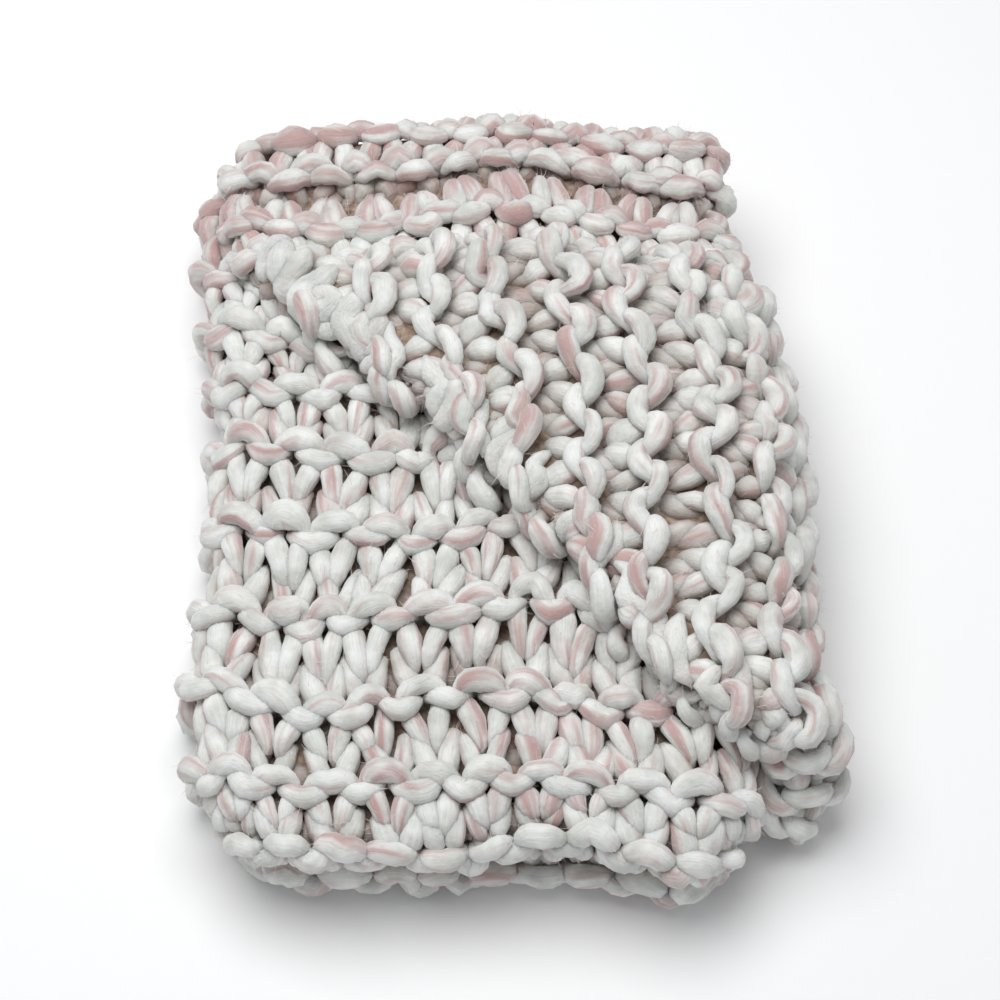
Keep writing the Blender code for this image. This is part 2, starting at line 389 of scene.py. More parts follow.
def row_line(ridges, place, shares):
    """The line, as a function of u, where a row starts: place counts rows from the first ridge."""
    ridge, step = divmod(place, len(shares) + 1)
    share = (0.0,) + shares
    low, high = ridges[ridge], ridges[min(ridge + 1, len(ridges) - 1)]

    def at(ridge_line, u):
        swing = math.sin(math.tau * (u / RIDGE_WAVE + ridge_line.start))
        return ridge_line.at + ridge_line.lean * u + ridge_line.wave * swing

    return lambda u: mix(at(low, u), at(high, u), share[step])


def nearest_inside(points, outline):
    """The nearest point of a convex outline to each point, and the distance from it."""
    corners = np.array(outline)
    inside = np.ones(len(points), dtype=bool)
    best = np.full(len(points), np.inf)
    nearest = points.copy()
    turn = 0.0
    for a, b, c in zip(corners, np.roll(corners, -1, 0), np.roll(corners, -2, 0)):
        turn += (b - a)[0] * (c - b)[1] - (b - a)[1] * (c - b)[0]
    for a, b in zip(corners, np.roll(corners, -1, 0)):
        edge = b - a
        share = np.clip((points - a) @ edge / (edge @ edge), 0, 1)
        foot = a + share[:, None] * edge
        gap = np.linalg.norm(points - foot, axis=1)
        side = edge[0] * (points - a)[:, 1] - edge[1] * (points - a)[:, 0]
        inside &= side * math.copysign(1, turn) >= 0
        closer = gap < best
        best = np.where(closer, gap, best)
        nearest = np.where(closer[:, None], foot, nearest)
    nearest = np.where(inside[:, None], points, nearest)
    return nearest, np.where(inside, 0.0, best)


def flat_layer(height, facing):
    """A level layer: for points of it, where they are and the two ways along it and up."""
    def place(points):
        ones = np.ones(len(points))
        spot = np.stack((points[:, 0], points[:, 1], ones * height), axis=1)
        return (spot, np.tile((1.0, 0, 0), (len(points), 1)), np.tile((0, 1.0, 0), (len(points), 1)),
                np.tile((0, 0, float(facing)), (len(points), 1)))
    return place


def lay_on(controls, layer, outline, rim):
    """Lay flat knitting on a layer; what is past its outline bends round the rim and under."""
    flat = controls[:, :2]
    nearest, past = nearest_inside(flat, outline)
    spot, along_u, along_v, out = layer(nearest)
    away = (flat - nearest) / np.maximum(past, 1e-9)[:, None]
    sideways = along_u * away[:, :1] + along_v * away[:, 1:]
    bend = past / BEND_RADIUS
    angle = np.minimum(bend, math.pi)[:, None]
    under = np.maximum(past - math.pi * BEND_RADIUS, 0)[:, None]
    ray = sideways * np.sin(angle) + out * np.cos(angle)
    return spot - sideways * under - out * rim + ray * (rim + controls[:, 2:3]), ray, bend


def add_yarn(name, strands, sides, material):
    """One piece of yarn: a closed tube round each strand of points, outward ways and radii.

    Two attributes go with it for the material: strand holds the length along the yarn and
    the place round it, and height_in_cloth the height over the middle of the layer, from
    which the material paints shade on the lower stitches.
    """
    verts, faces, places, heights = [], [], [], []
    start, total = 0, 0.0
    turns = np.arange(sides) * math.tau / sides
    for points, ray, radius, height in strands:
        ahead = np.gradient(points, axis=0)
        steps = np.linalg.norm(ahead, axis=1, keepdims=True)
        ahead /= np.maximum(steps, 1e-9)
        side = np.cross(ahead, ray)
        side /= np.maximum(np.linalg.norm(side, axis=1, keepdims=True), 1e-6)
        up = np.cross(side, ahead)
        ring = (np.cos(turns)[None, :, None] * up[:, None, :] * YARN_FLATNESS
                + np.sin(turns)[None, :, None] * side[:, None, :])
        length = total + np.concatenate(([0], np.cumsum(steps[1:, 0])))
        far = math.tau * length[:, None]
        slubs = (np.sin(far / SLUB_LENGTH + SLUB_TURNS[0] * np.cos(turns))
                 * np.cos(far / (SLUB_BEAT * SLUB_LENGTH) + SLUB_TURNS[1] * np.sin(turns)))
        tube = points[:, None, :] + ring * (radius[:, None] * (1 + SLUB_SIZE * slubs))[..., None]
        tube[..., 2] = (tube[..., 2] + np.hypot(tube[..., 2], FLOOR_PRESS)) / 2
        count = len(points)
        verts.append(tube.reshape(-1, 3))
        total = length[-1] + STRAND_GAP
        place = np.empty((count, sides, 3))
        place[..., 0] = length[:, None]
        place[..., 1] = np.cos(turns)
        place[..., 2] = np.sin(turns)
        places.append(place.reshape(-1, 3))
        heights.append((height[:, None] + radius[:, None] * np.cos(turns)).ravel())
        ids = start + np.arange(count * sides).reshape(count, sides)
        quads = np.stack((ids[:-1], np.roll(ids[:-1], -1, 1), np.roll(ids[1:], -1, 1), ids[1:]), axis=2)
        faces += quads.reshape(-1, 4).tolist()
        faces += [ids[0][::-1].tolist(), ids[-1].tolist()]
        start += count * sides
    mesh = bpy.data.meshes.new(name)
    mesh.from_pydata(np.vstack(verts).tolist(), [], faces)
    along = mesh.attributes.new("strand", "FLOAT_VECTOR", "POINT")
    along.data.foreach_set("vector", np.vstack(places).ravel().astype(np.float32))
    up = mesh.attributes.new("height_in_cloth", "FLOAT", "POINT")
    up.data.foreach_set("value", np.concatenate(heights).astype(np.float32))
    mesh.shade_smooth()
    mesh.materials.append(material)
    piece = bpy.data.objects.new(name, mesh)
    bpy.context.collection.objects.link(piece)
    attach(piece, "root")


def knit(layer, outline, ridges, shares, wales, width, seed, keep, kinds=OPEN_ROWS, face=1,
         turned=False, spacing=SPACING):
    """All the strands of a field of knitting on a layer, one to a row.

    shares: where, between two ridges, the second and third rows start; wales: the first
    and last columns of stitches; keep: says which points are drawn; face: 1 or -1, which
    side shows; turned: the rows run front to back.
    """
    dice = random.Random(seed)
    heading = math.copysign(1, ridges[-1].at - ridges[0].at)
    strands = []
    for place in range(len(kinds) * (len(ridges) - 1)):
        kind = kinds[place % len(kinds)]
        lines = (row_line(ridges, place, shares), row_line(ridges, place + 1, shares))
        controls = knit_row(kind, lines, wales, width, face, heading, dice)
        run = smooth_run(controls, spacing)
        run[:, :2] += wander(run[:, :2], seed, *DRIFT)
        run[:, 3] *= 1 + wander(run[:, :2], seed + place, *SWELL)[:, 0]
        if turned:
            run[:, :2] = run[:, 1::-1]
        points, ray, bend = lay_on(run, layer, outline, PITCH / 2)
        shown = keep(run, bend)
        strands += cut_runs(settle(points), ray, run[:, 3], run[:, 2], shown)
    return strands


def cut_runs(points, ray, radius, height, shown):
    """The stretches of a strand that are kept, each with its ends drawn in."""
    edges = np.flatnonzero(np.diff(np.concatenate(([0], shown.astype(int), [0]))))
    strands = []
    for first, last in zip(edges[::2], edges[1::2]):
        if last - first >= SHORTEST_RUN:
            thin = radius[first:last].copy()
            thin[[0, -1]] *= END_TAPER[0]
            thin[[1, -2]] *= END_TAPER[1]
            strands.append((points[first:last], ray[first:last], thin, height[first:last]))
    return strands


ARC_MIDDLE = 0.29       # about 1 - cos 45 degrees: puts a cut corner's middle point on its arc


def box_outline(left, right, front, back, corner, skew=0.0):
    """A rectangle in plan with cut corners; its front can slant."""
    near = corner * ARC_MIDDLE
    return [(left, front + corner), (left + near, front + near), (left + corner, front),
            (right - corner, front + skew), (right - near, front + near + skew),
            (right, front + corner + skew), (right, back - corner), (right - near, back - near),
            (right - corner, back), (left + corner, back), (left + near, back - near),
            (left, back - corner)]


def along_yarn(length, width):
    """A pattern's scale along and across the yarn, from its size in millimetres there."""
    return per_metre(length), YARN_RADIUS * per_metre(width), YARN_RADIUS * per_metre(width)


# Wool-blend roving, barely twisted: off-white fibre with a dusty pink ply that comes to
# the surface in streaks.  Matt, soft and fuzzy, with fine fibres along its length.
# The fibre lines are drawn 0.7 mm apart: real ones, a few hundredths, are too fine to show.
roving, shader = new_material("two_tone_wool_roving")
strand = add_node(roving, "ShaderNodeAttribute", {"attribute_name": "strand"})
streak_size = add_node(roving, "ShaderNodeMapping", inputs={"Scale": along_yarn(45, 8.4)},
                       links={"Vector": strand.outputs["Vector"]})
streaks = add_node(roving, "ShaderNodeTexNoise", inputs={"Scale": 1.0, "Detail": 2.0, "Roughness": 0.5},
                   links={"Vector": streak_size.outputs["Vector"]})
fibre_size = add_node(roving, "ShaderNodeMapping", inputs={"Scale": along_yarn(16, 0.7)},
                      links={"Vector": strand.outputs["Vector"]})
fibres = add_node(roving, "ShaderNodeTexNoise", inputs={"Scale": 1.0, "Detail": 3.0, "Roughness": 0.6},
                  links={"Vector": fibre_size.outputs["Vector"]})
frayed = add_node(roving, "ShaderNodeMath", {"operation": "MULTIPLY_ADD"},
                  {1: 0.20}, {0: fibres.outputs["Fac"], 2: streaks.outputs["Fac"]})
spot = add_node(roving, "ShaderNodeTexCoord")
along_y = add_node(roving, "ShaderNodeSeparateXYZ", links={"Vector": spot.outputs["Object"]})
pinker_back = add_node(roving, "ShaderNodeMapRange", {"interpolation_type": "SMOOTHSTEP"},
                       {"From Min": 0.10, "From Max": 0.22, "To Max": 0.090},
                       {"Value": along_y.outputs["Y"]})
dye_size = add_node(roving, "ShaderNodeMapping", inputs={"Scale": (per_metre(250), 0.0, 0.0)},
                    links={"Vector": strand.outputs["Vector"]})
dye = add_node(roving, "ShaderNodeTexNoise", inputs={"Scale": 1.0, "Detail": 1.0},
               links={"Vector": dye_size.outputs["Vector"]})
dyed = add_node(roving, "ShaderNodeMath", {"operation": "MULTIPLY_ADD"},
                {1: 0.16}, {0: dye.outputs["Fac"], 2: frayed.outputs[0]})
dyed_back = add_node(roving, "ShaderNodeMath", {"operation": "ADD"},
                     links={0: dyed.outputs[0], 1: pinker_back.outputs["Result"]})
pink_share = add_node(roving, "ShaderNodeMapRange",
                      {"interpolation_type": "SMOOTHSTEP", "name": "pink share"},
                      {"From Min": 0.66, "From Max": 0.91, "To Max": 0.80},
                      {"Value": dyed_back.outputs[0]})
patches = add_node(roving, "ShaderNodeTexNoise", inputs={"Scale": per_metre(16), "Detail": 2.0},
                   links={"Vector": spot.outputs["Object"]})
pale = add_node(roving, "ShaderNodeMath", {"operation": "MULTIPLY_ADD"},
                {1: 0.45}, {0: fibres.outputs["Fac"], 2: patches.outputs["Fac"]})
pale_share = add_node(roving, "ShaderNodeMapRange", inputs={"From Min": 0.53, "From Max": 0.88},
                      links={"Value": pale.outputs[0]})
whites = add_node(roving, "ShaderNodeMix", {"data_type": "RGBA"},
                  {6: linear("#d3d5cf"), 7: linear("#f6f7f3")}, {"Factor": pale_share.outputs["Result"]})
colours = add_node(roving, "ShaderNodeMix", {"data_type": "RGBA"}, {7: linear("#bd918e")},
                   {"Factor": pink_share.outputs["Result"], 6: whites.outputs[2]})
# Painted shade: the lower a stitch lies in the cloth, the more its colour is mixed towards brown-grey,
# in place of the shade that falls between the stitches.
sunk = add_node(roving, "ShaderNodeAttribute", {"attribute_name": "height_in_cloth"})
in_shade = add_node(roving, "ShaderNodeMapRange", {"interpolation_type": "SMOOTHSTEP"},
                    {"From Min": 0.0080, "From Max": -0.0050, "To Max": 0.68},
                    {"Value": sunk.outputs["Fac"]})
painted_depth_shade = add_node(roving, "ShaderNodeMix", {"data_type": "RGBA"}, {7: linear("#8f7667")},
                    {"Factor": in_shade.outputs["Result"], 6: colours.outputs[2]})
fluff = add_node(roving, "ShaderNodeTexNoise",
                 inputs={"Scale": per_metre(3), "Detail": 4.0, "Roughness": 0.65},
                 links={"Vector": spot.outputs["Object"]})
fluffed = add_node(roving, "ShaderNodeBump", {"name": "fluff"}, {"Strength": 0.6, "Distance": 0.0016},
                   {"Height": fluff.outputs["Fac"]})
combed = add_node(roving, "ShaderNodeBump", inputs={"Strength": 0.5, "Distance": 0.0016},
                  links={"Height": fibres.outputs["Fac"], "Normal": fluffed.outputs["Normal"]})
roving.node_tree.links.new(painted_depth_shade.outputs[2], shader.inputs["Base Color"])
roving.node_tree.links.new(combed.outputs["Normal"], shader.inputs["Normal"])
shader.inputs["Roughness"].default_value = 0.85
shader.inputs["Sheen Weight"].default_value = 0.45
shader.inputs["Sheen Roughness"].default_value = 0.5
shader.inputs["Subsurface Weight"].default_value = 0.35
shader.inputs["Subsurface Radius"].default_value = (1.0, 0.85, 0.75)
shader.inputs["Subsurface Scale"].default_value = 0.006

STACK_WALES = (-9, 8)       # columns of stitches, counted from the middle of the stack
UPPER_RIDGES = (
    Ridge(-0.314, -0.02, 0.001, 0.2),
    Ridge(-0.266, -0.03, 0.002, 0.1), Ridge(-0.229, -0.05, 0.002, 0.6), Ridge(-0.173, -0.03, 0.002, 0.3),
    Ridge(-0.119, -0.03, 0.003, 0.0), Ridge(-0.062, -0.03, 0.002, 0.7), Ridge(-0.005, -0.02, 0.002, 0.4),
    Ridge(0.042, 0.00, 0.002, 0.9), Ridge(0.087, 0.02, 0.003, 0.2), Ridge(0.133, 0.03, 0.002, 0.5),
    Ridge(0.185, 0.00, 0.002, 0.5), Ridge(0.235, 0.00, 0.002, 0.5),
)
UPPER_SHARES = (0.10, 0.38)     # where its two knit rows start between two ridges
UPPER_WRAP = (4.2, 3.4)     # angles round the rim to which it is knitted, in front and elsewhere
FRONT_ROLL = -0.2           # the front is what lies past this
COVER = 0.045               # it isn't knitted further than this under the turned corner,
SIDE_STRIP = 0.125          # but at the right side it always is
upper_outline = box_outline(-0.161, 0.122, -0.242, 0.200, 0.030, -0.006)


def slant_gap(points):
    """How far plan points lie in front of the slanting fold; negative is under the turned part."""
    slant = np.array((TURN_RIGHT - TURN_LEFT)[:2])
    slant /= np.linalg.norm(slant)
    return slant[1] * (points[:, 0] - TURN_LEFT.x) - slant[0] * (points[:, 1] - TURN_LEFT.y)


def upper_shown(run, bend):
    """The upper fold is knitted where it isn't deep under the turned part, down to its crease."""
    in_sight = (slant_gap(run[:, :2]) > -COVER) | (run[:, 0] > SIDE_STRIP)
    return in_sight & (bend < np.where(run[:, 1] < FRONT_ROLL, *UPPER_WRAP))


upper = knit(flat_layer(level(3), 1), upper_outline, UPPER_RIDGES, UPPER_SHARES, STACK_WALES, GAUGE,
             SEED, upper_shown)
half = len(upper) // 2
add_yarn("upper_fold_front", upper[:half], SIDES, roving)
add_yarn("upper_fold_back", upper[half:], SIDES, roving)


# ---- The turned corner --------------------------------------------------------------
# The same knitting, turned back over a slanting fold, so its rows run front to back.  It
# is drawn together along its columns, and its right side hangs over the stack and curls.
TURNED_WIDTH = 0.0345
DRAWN_AFTER = (
    Bend(0.00, 0.00, -0.14, -0.36, 0.90),
    Bend(0.20, 0.00, -0.08, -0.34, 0.80),
    Bend(0.30, 0.00, 0.02, -0.24, 0.80),
    Bend(0.20, 0.60, 0.02, -0.14, 1.05),
    Bend(0.13, 1.00, 0.06, -0.12, 1.10),
    Bend(0.10, 1.00, 0.28, -0.22, 0.90),
    Bend(0.24, 1.00, 0.36, -0.34, 0.85),
    Bend(0.50, 1.00, 0.40, -0.38, 0.90),
)
DRAWN_ROW = (
    Bend(0.00, 0.00, -0.14, -0.36, 0.90),
    Bend(0.20, 0.00, -0.08, -0.32, 0.80),
    Bend(0.36, 0.00, 0.00, -0.16, 0.66),
    Bend(0.34, 0.20, 0.00, -0.04, 1.10),
    Bend(0.27, 0.50, 0.00, 0.02, 1.30),
    Bend(0.19, 0.80, -0.02, 0.04, 0.84),
    Bend(0.17, 1.00, 0.00, 0.28, 0.72),
    Bend(0.31, 1.00, 0.16, 0.44, 0.98),
    Bend(0.50, 1.00, 0.20, 0.46, 1.06),
)
DRAWN_ROWS = (PURL, DRAWN_AFTER, DRAWN_ROW)
TURNED_SHARES = (0.16, 0.38)
TURNED_WALES = (-7, 6)
SHOULDER_LENGTH = 0.074     # lengths of cloth over the shoulder, straight down, and in the curl
DROP_LENGTH = 0.0265
CURL_LENGTH = 0.050
SHOULDER_DRIFT = 0.016      # the shoulder starts this much further right at the front,
SHOULDER_DRIFT_FROM = 0.9   # from this share of the way there
DROP_TOP = level(5) - SHOULDER_RISE
DROP_FOOT = FIRST_LEVEL + CURL_RISE
EDGE_SAG = 0.009        # the slanting edge sinks this far towards the layer below it
EDGE_SAG_WIDTH = 0.025  # and the sag fades over this distance from it


def turned_layer(points):
    """The turned part: level, then over the shoulder, straight down, and curled in."""
    across, y = points[:, 0], points[:, 1]
    share = np.clip((TURN_LEFT.y - y) / (TURN_LEFT.y - TURN_RIGHT.y), 0, 1)
    drift = np.clip((share - SHOULDER_DRIFT_FROM) / (1 - SHOULDER_DRIFT_FROM), 0, 1)
    bend = SHOULDER_START + SHOULDER_DRIFT * drift
    reach = mix(SIDE_REACH_BACK, SIDE_REACH_FRONT, share ** FLARE_POWER)
    slide = mix(SLIDE_BACK, SLIDE_FRONT, share)
    run = np.maximum(across - bend, 0)
    swing = np.clip(run / SHOULDER_LENGTH, 0, 1) * math.pi / 2
    fall = np.clip((run - SHOULDER_LENGTH) / DROP_LENGTH, 0, 1)
    curl = np.clip((run - SHOULDER_LENGTH - DROP_LENGTH) / CURL_LENGTH, 0, 1) * math.pi / 2
    wide = reach - bend
    x = np.minimum(across, bend) + wide * np.sin(swing) - CURL_IN * (1 - np.cos(curl))
    z = level(5) - SHOULDER_RISE * (1 - np.cos(swing)) - (DROP_TOP - DROP_FOOT) * fall
    z = z - CURL_RISE * np.sin(curl) - EDGE_SAG * np.exp(slant_gap(points) / EDGE_SAG_WIDTH)
    spot = np.stack((x, y - slide * (1 - z / level(5)), z), axis=1)
    angle = np.arctan2(SHOULDER_RISE * np.sin(swing), wide * np.cos(swing))
    inward = np.arctan2(CURL_IN * np.sin(curl), CURL_RISE * np.cos(curl))
    angle = np.where(curl > 0, math.pi / 2 + inward, angle)
    zero = np.zeros(len(points))
    out = np.stack((np.sin(angle), zero, np.cos(angle)), axis=1)
    ahead = np.stack((np.cos(angle), zero, -np.sin(angle)), axis=1)
    return spot, ahead, np.tile((0, 1.0, 0), (len(points), 1)), out


TURNED_RIDGES = (
    Ridge(-0.152, -0.07, 0.000, 0.1), Ridge(-0.114, -0.07, 0.001, 0.1), Ridge(-0.074, -0.07, 0.002, 0.6),
    Ridge(-0.032, -0.07, 0.002, 0.3), Ridge(0.006, -0.07, 0.002, 0.0), Ridge(0.044, -0.07, 0.002, 0.7),
    Ridge(0.081, -0.06, 0.002, 0.4), Ridge(0.118, -0.05, 0.002, 0.9), Ridge(0.155, -0.04, 0.002, 0.2),
    Ridge(0.192, -0.02, 0.002, 0.5), Ridge(0.229, 0.00, 0.002, 0.5), Ridge(0.268, 0.00, 0.002, 0.5),
    Ridge(0.310, 0.00, 0.002, 0.5),
)
TURNED_WRAP = (5.2, 2.4)    # round the front edge of the hanging part, and elsewhere
FOOT_END = SHOULDER_START + SHOULDER_LENGTH + DROP_LENGTH + CURL_LENGTH
turned_outline = [(-0.090, 0.106), (-0.100, 0.102), (-0.102, 0.095), (0.132, -0.178), (0.140, -0.182),
                  (FOOT_END - 0.02, -0.180), (FOOT_END, -0.16), (FOOT_END, 0.106)]


def turned_shown(run, bend):
    """The turned part is knitted all over its face, round its edges and, in front, on its inside."""
    hanging_front = (run[:, 0] > SHOULDER_START) & (run[:, 1] < 0)
    return bend < np.where(hanging_front, *TURNED_WRAP)


turned = knit(turned_layer, turned_outline, TURNED_RIDGES, TURNED_SHARES, TURNED_WALES, TURNED_WIDTH,
              SEED + 1, turned_shown, DRAWN_ROWS, turned=True)


# Where the slanting fold has rubbed, ridges end in soft lumps of felted roving, with the
# largest at its back end.
LUMPS = 13
LUMP_SPAN = (0.12, 1.0)     # shares of the edge between which they lie
LUMP_LENGTHS = (0.034, 0.046)
LUMP_RADII = (0.0055, 0.0085)
CORNER_LUMPS = (-0.04, -0.01, 0.02, 0.07, 0.09, 0.14)
CORNER_LUMP_LENGTH = 0.044
CORNER_LUMP_RADIUS = 0.0088
LUMP_RISE = 0.0040
LUMP_HEADING = (-108, 24)   # degrees, the mean and how much they differ
LUMP_SWING = 0.0045         # how far they bend to the side
LUMP_ENDS = (-0.42, 0.58)   # shares of the length before and past the edge
LUMP_FATNESS = (0.55, 0.90, 1.00, 0.90, 0.50)
LUMP_UNEVENNESS = 0.06
LUMP_WRAP = 2.6
LUMP_SIDES = 16
felted_outline = [(-0.112, 0.136), (-0.124, 0.132), (-0.127, 0.122), (0.130, -0.178), (0.140, -0.182),
                  (FOOT_END, -0.180), (FOOT_END, 0.136)]


def felted_lump(share, length, radius, dice):
    """A short fat stretch of yarn that lies over the slanting edge and down beyond it."""
    corners = np.array(felted_outline)[2:4]
    edge = corners[0] + (corners[1] - corners[0]) * share
    heading = math.radians(dice.gauss(*LUMP_HEADING))
    steps = np.linspace(*LUMP_ENDS, len(LUMP_FATNESS))[:, None]
    swing = np.array([dice.gauss(0, LUMP_SWING) for _ in LUMP_FATNESS])[:, None]
    flat = edge + steps * length * np.array((math.cos(heading), math.sin(heading)))
    flat = flat + swing * np.array((-math.sin(heading), math.cos(heading)))
    fat = radius * np.array([dice.gauss(full, LUMP_UNEVENNESS) for full in LUMP_FATNESS])
    controls = np.column_stack((flat, np.full(len(fat), LUMP_RISE), fat))
    return smooth_run(controls, SPACING)


lump_dice = random.Random(SEED + 9)
lump_runs = [felted_lump(share, CORNER_LUMP_LENGTH, CORNER_LUMP_RADIUS, lump_dice)
             for share in CORNER_LUMPS]
for number in range(LUMPS):
    share = mix(*LUMP_SPAN, (number + lump_dice.uniform(0.3, 0.9)) / LUMPS)
    length = lump_dice.uniform(*LUMP_LENGTHS)
    radius = lump_dice.uniform(*LUMP_RADII)
    lump_runs.append(felted_lump(share, length, radius, lump_dice))
lumps = []
for run in lump_runs:
    points, ray, bend = lay_on(run, turned_layer, felted_outline, PITCH / 2)
    lumps += cut_runs(settle(points), ray, run[:, 3], run[:, 2], bend < LUMP_WRAP)

# The same roving, felted: the white fibre has worked its way out over the pink, and it
# is fluffier.
felted = roving.copy()
felted.name = "felted_wool_roving"
felted.node_tree.nodes["pink share"].inputs["To Max"].default_value = 0.25
felted.node_tree.nodes["fluff"].inputs["Distance"].default_value = 0.0035
half = len(turned) // 2
add_yarn("felted_edge", lumps, LUMP_SIDES, felted)
add_yarn("turned_corner_left", turned[:half], SIDES, roving)
add_yarn("turned_corner_right", turned[half:], SIDES, roving)


# ---- The back strip -----------------------------------------------------------------
# The fifth layer behind the turned corner, seen on the purl side of the knitting, and
# its roll at the back, round which it comes up from the fourth layer.
AFTER_REVERSED = (
    Bend(0.00, 0.00, -0.14, -0.33, 1.20),
    Bend(0.17, 0.00, -0.10, -0.29, 1.08),
    Bend(0.30, 0.00, -0.06, -0.10, 0.70),
    Bend(0.31, 0.10, 0.03, -0.06, 0.92),
    Bend(0.22, 0.50, 0.02, -0.10, 1.20),
    Bend(0.13, 1.00, 0.02, -0.02, 1.04),
    Bend(0.11, 1.00, 0.08, -0.04, 0.80),
    Bend(0.26, 1.00, 0.12, -0.28, 0.95),
    Bend(0.50, 1.00, 0.16, -0.36, 1.20),
)
REVERSED_ROWS = (PURL, AFTER_REVERSED, BEFORE_PURL)
STRIP_RIDGES = (
    Ridge(0.330, 0.00, 0.001, 0.1), Ridge(0.259, -0.01, 0.002, 0.1), Ridge(0.188, -0.02, 0.003, 0.75),
    Ridge(0.117, 0.00, 0.002, 0.2),
)
STRIP_SHARES = (0.48, 0.85)
STRIP_WALES = (-7, 7)
STRIP_WIDTH = GAUGE * 0.97
STRIP_FRONT = 0.105         # in front of this it is hidden by the turned corner
STRIP_WRAP = 3.7
strip_outline = [(-0.136, 0.05), (-0.148, 0.194), (-0.142, 0.210), (-0.128, 0.219), (0.114, 0.225),
                 (0.130, 0.217), (0.136, 0.200), (0.134, 0.05)]


def strip_shown(run, bend):
    """The strip is knitted from under the turned corner to the underside of its roll."""
    return (run[:, 1] > STRIP_FRONT) & (bend < STRIP_WRAP)


strip = knit(flat_layer(level(4), 1), strip_outline, STRIP_RIDGES, STRIP_SHARES, STRIP_WALES,
             STRIP_WIDTH, SEED + 2, strip_shown, REVERSED_ROWS, face=-1)
add_yarn("back_strip", strip, SIDES, roving)


# ---- The lower fold and the lower back roll -------------------------------------------
# The bottom two layers, of which the front roll and the sides show, and underneath the
# ground layer; behind them the roll between the second and third layers.
LOWER_SPACING = 0.0046      # the strands are coarser where they show less
LOWER_FRONT_SIDES = 9
LOWER_BACK_SIDES = 8
ROLL_SIDES = 10
LOWER_SHARES = (0.13, 0.41)
LOWER_WRAP = (3.9, 3.0)     # in front and elsewhere
FIRST_RIDGE = 0.2705
RIDGE_STEP = 0.0535
LOWER_RIDGES = tuple(Ridge(FIRST_RIDGE - RIDGE_STEP * i, -0.03, 0.002, 0.13 * i) for i in range(12))
lower_outline = box_outline(-0.162, 0.120, -0.231, 0.208, 0.030, -0.012)


def lower_shown(run, bend):
    """The lower fold is knitted underneath and round its rim up to the crease."""
    return bend < np.where(run[:, 1] < FRONT_ROLL, *LOWER_WRAP)


lower = knit(flat_layer(level(0), -1), lower_outline, LOWER_RIDGES, LOWER_SHARES, STACK_WALES, GAUGE,
             SEED + 3, lower_shown, spacing=LOWER_SPACING)
half = len(lower) // 2
add_yarn("lower_fold_front", lower[:half], LOWER_FRONT_SIDES, roving)
add_yarn("lower_fold_back", lower[half:], LOWER_BACK_SIDES, roving)

ROLL_RIDGES = tuple(Ridge(at, 0.0, 0.002, 0.3) for at in (0.330, 0.259, 0.188))
ROLL_SHARES = (0.47, 0.86)
ROLL_FRONT = 0.18
ROLL_WRAP = (0.10, 3.0)     # from the top of its bend to the bottom
roll_outline = box_outline(-0.162, 0.116, 0.05, 0.222, 0.028)


def roll_shown(run, bend):
    """Only the back of the roll and its ends are knitted."""
    return (bend > ROLL_WRAP[0]) & (bend < ROLL_WRAP[1]) & (run[:, 1] > ROLL_FRONT)


roll = knit(flat_layer(level(2), 1), roll_outline, ROLL_RIDGES, ROLL_SHARES, STACK_WALES, GAUGE,
            SEED + 4, roll_shown, REVERSED_ROWS, face=-1, spacing=LOWER_SPACING)
add_yarn("lower_back_roll", roll, ROLL_SIDES, roving)


# ---- Loose fibres ----------------------------------------------------------------------
# Low-twist yarn sheds: fine single fibres stand off every strand and cross the gaps.
# They are drawn a third of a millimetre wide, coarser than real, so that they show.
FIBRE_COUNT = 43000
FIBRES_BELOW = 4000
LONGEST_FIBRES = (0.008, 0.009)     # above and below
FIBRE_HALF_WIDTH = 0.00016
FIBRE_STEPS = 2
FIBRE_LOW = 0.0003      # they don't go through the floor,
FIBRE_TOP = 0.1495      # and they lie down on the highest stitches
FIBRE_LENGTHS = (0.3, 1.0)      # from these shares of the longest, raised to this power,
FIBRE_SHORTNESS = 1.5           # so that most are short
FIBRE_ROOT = 0.95       # share of the yarn's radius at which they start
FIBRE_ROUND = 0.9       # how far round from the yarn's outer side, in radians
FIBRE_LIFT = (0.15, 0.9)    # how steeply they leave it
FIBRE_STRAY = 0.35      # how far they stray from that
FIBRE_CURL = 0.55       # how much they curl,
FIBRE_DROOP = 0.25      # how much they bend back to the yarn,
FIBRE_BEND = 0.6        # and the share of both that is left at the tip
FIBRE_TAPER = 0.6       # share of their width that they lose by the tip


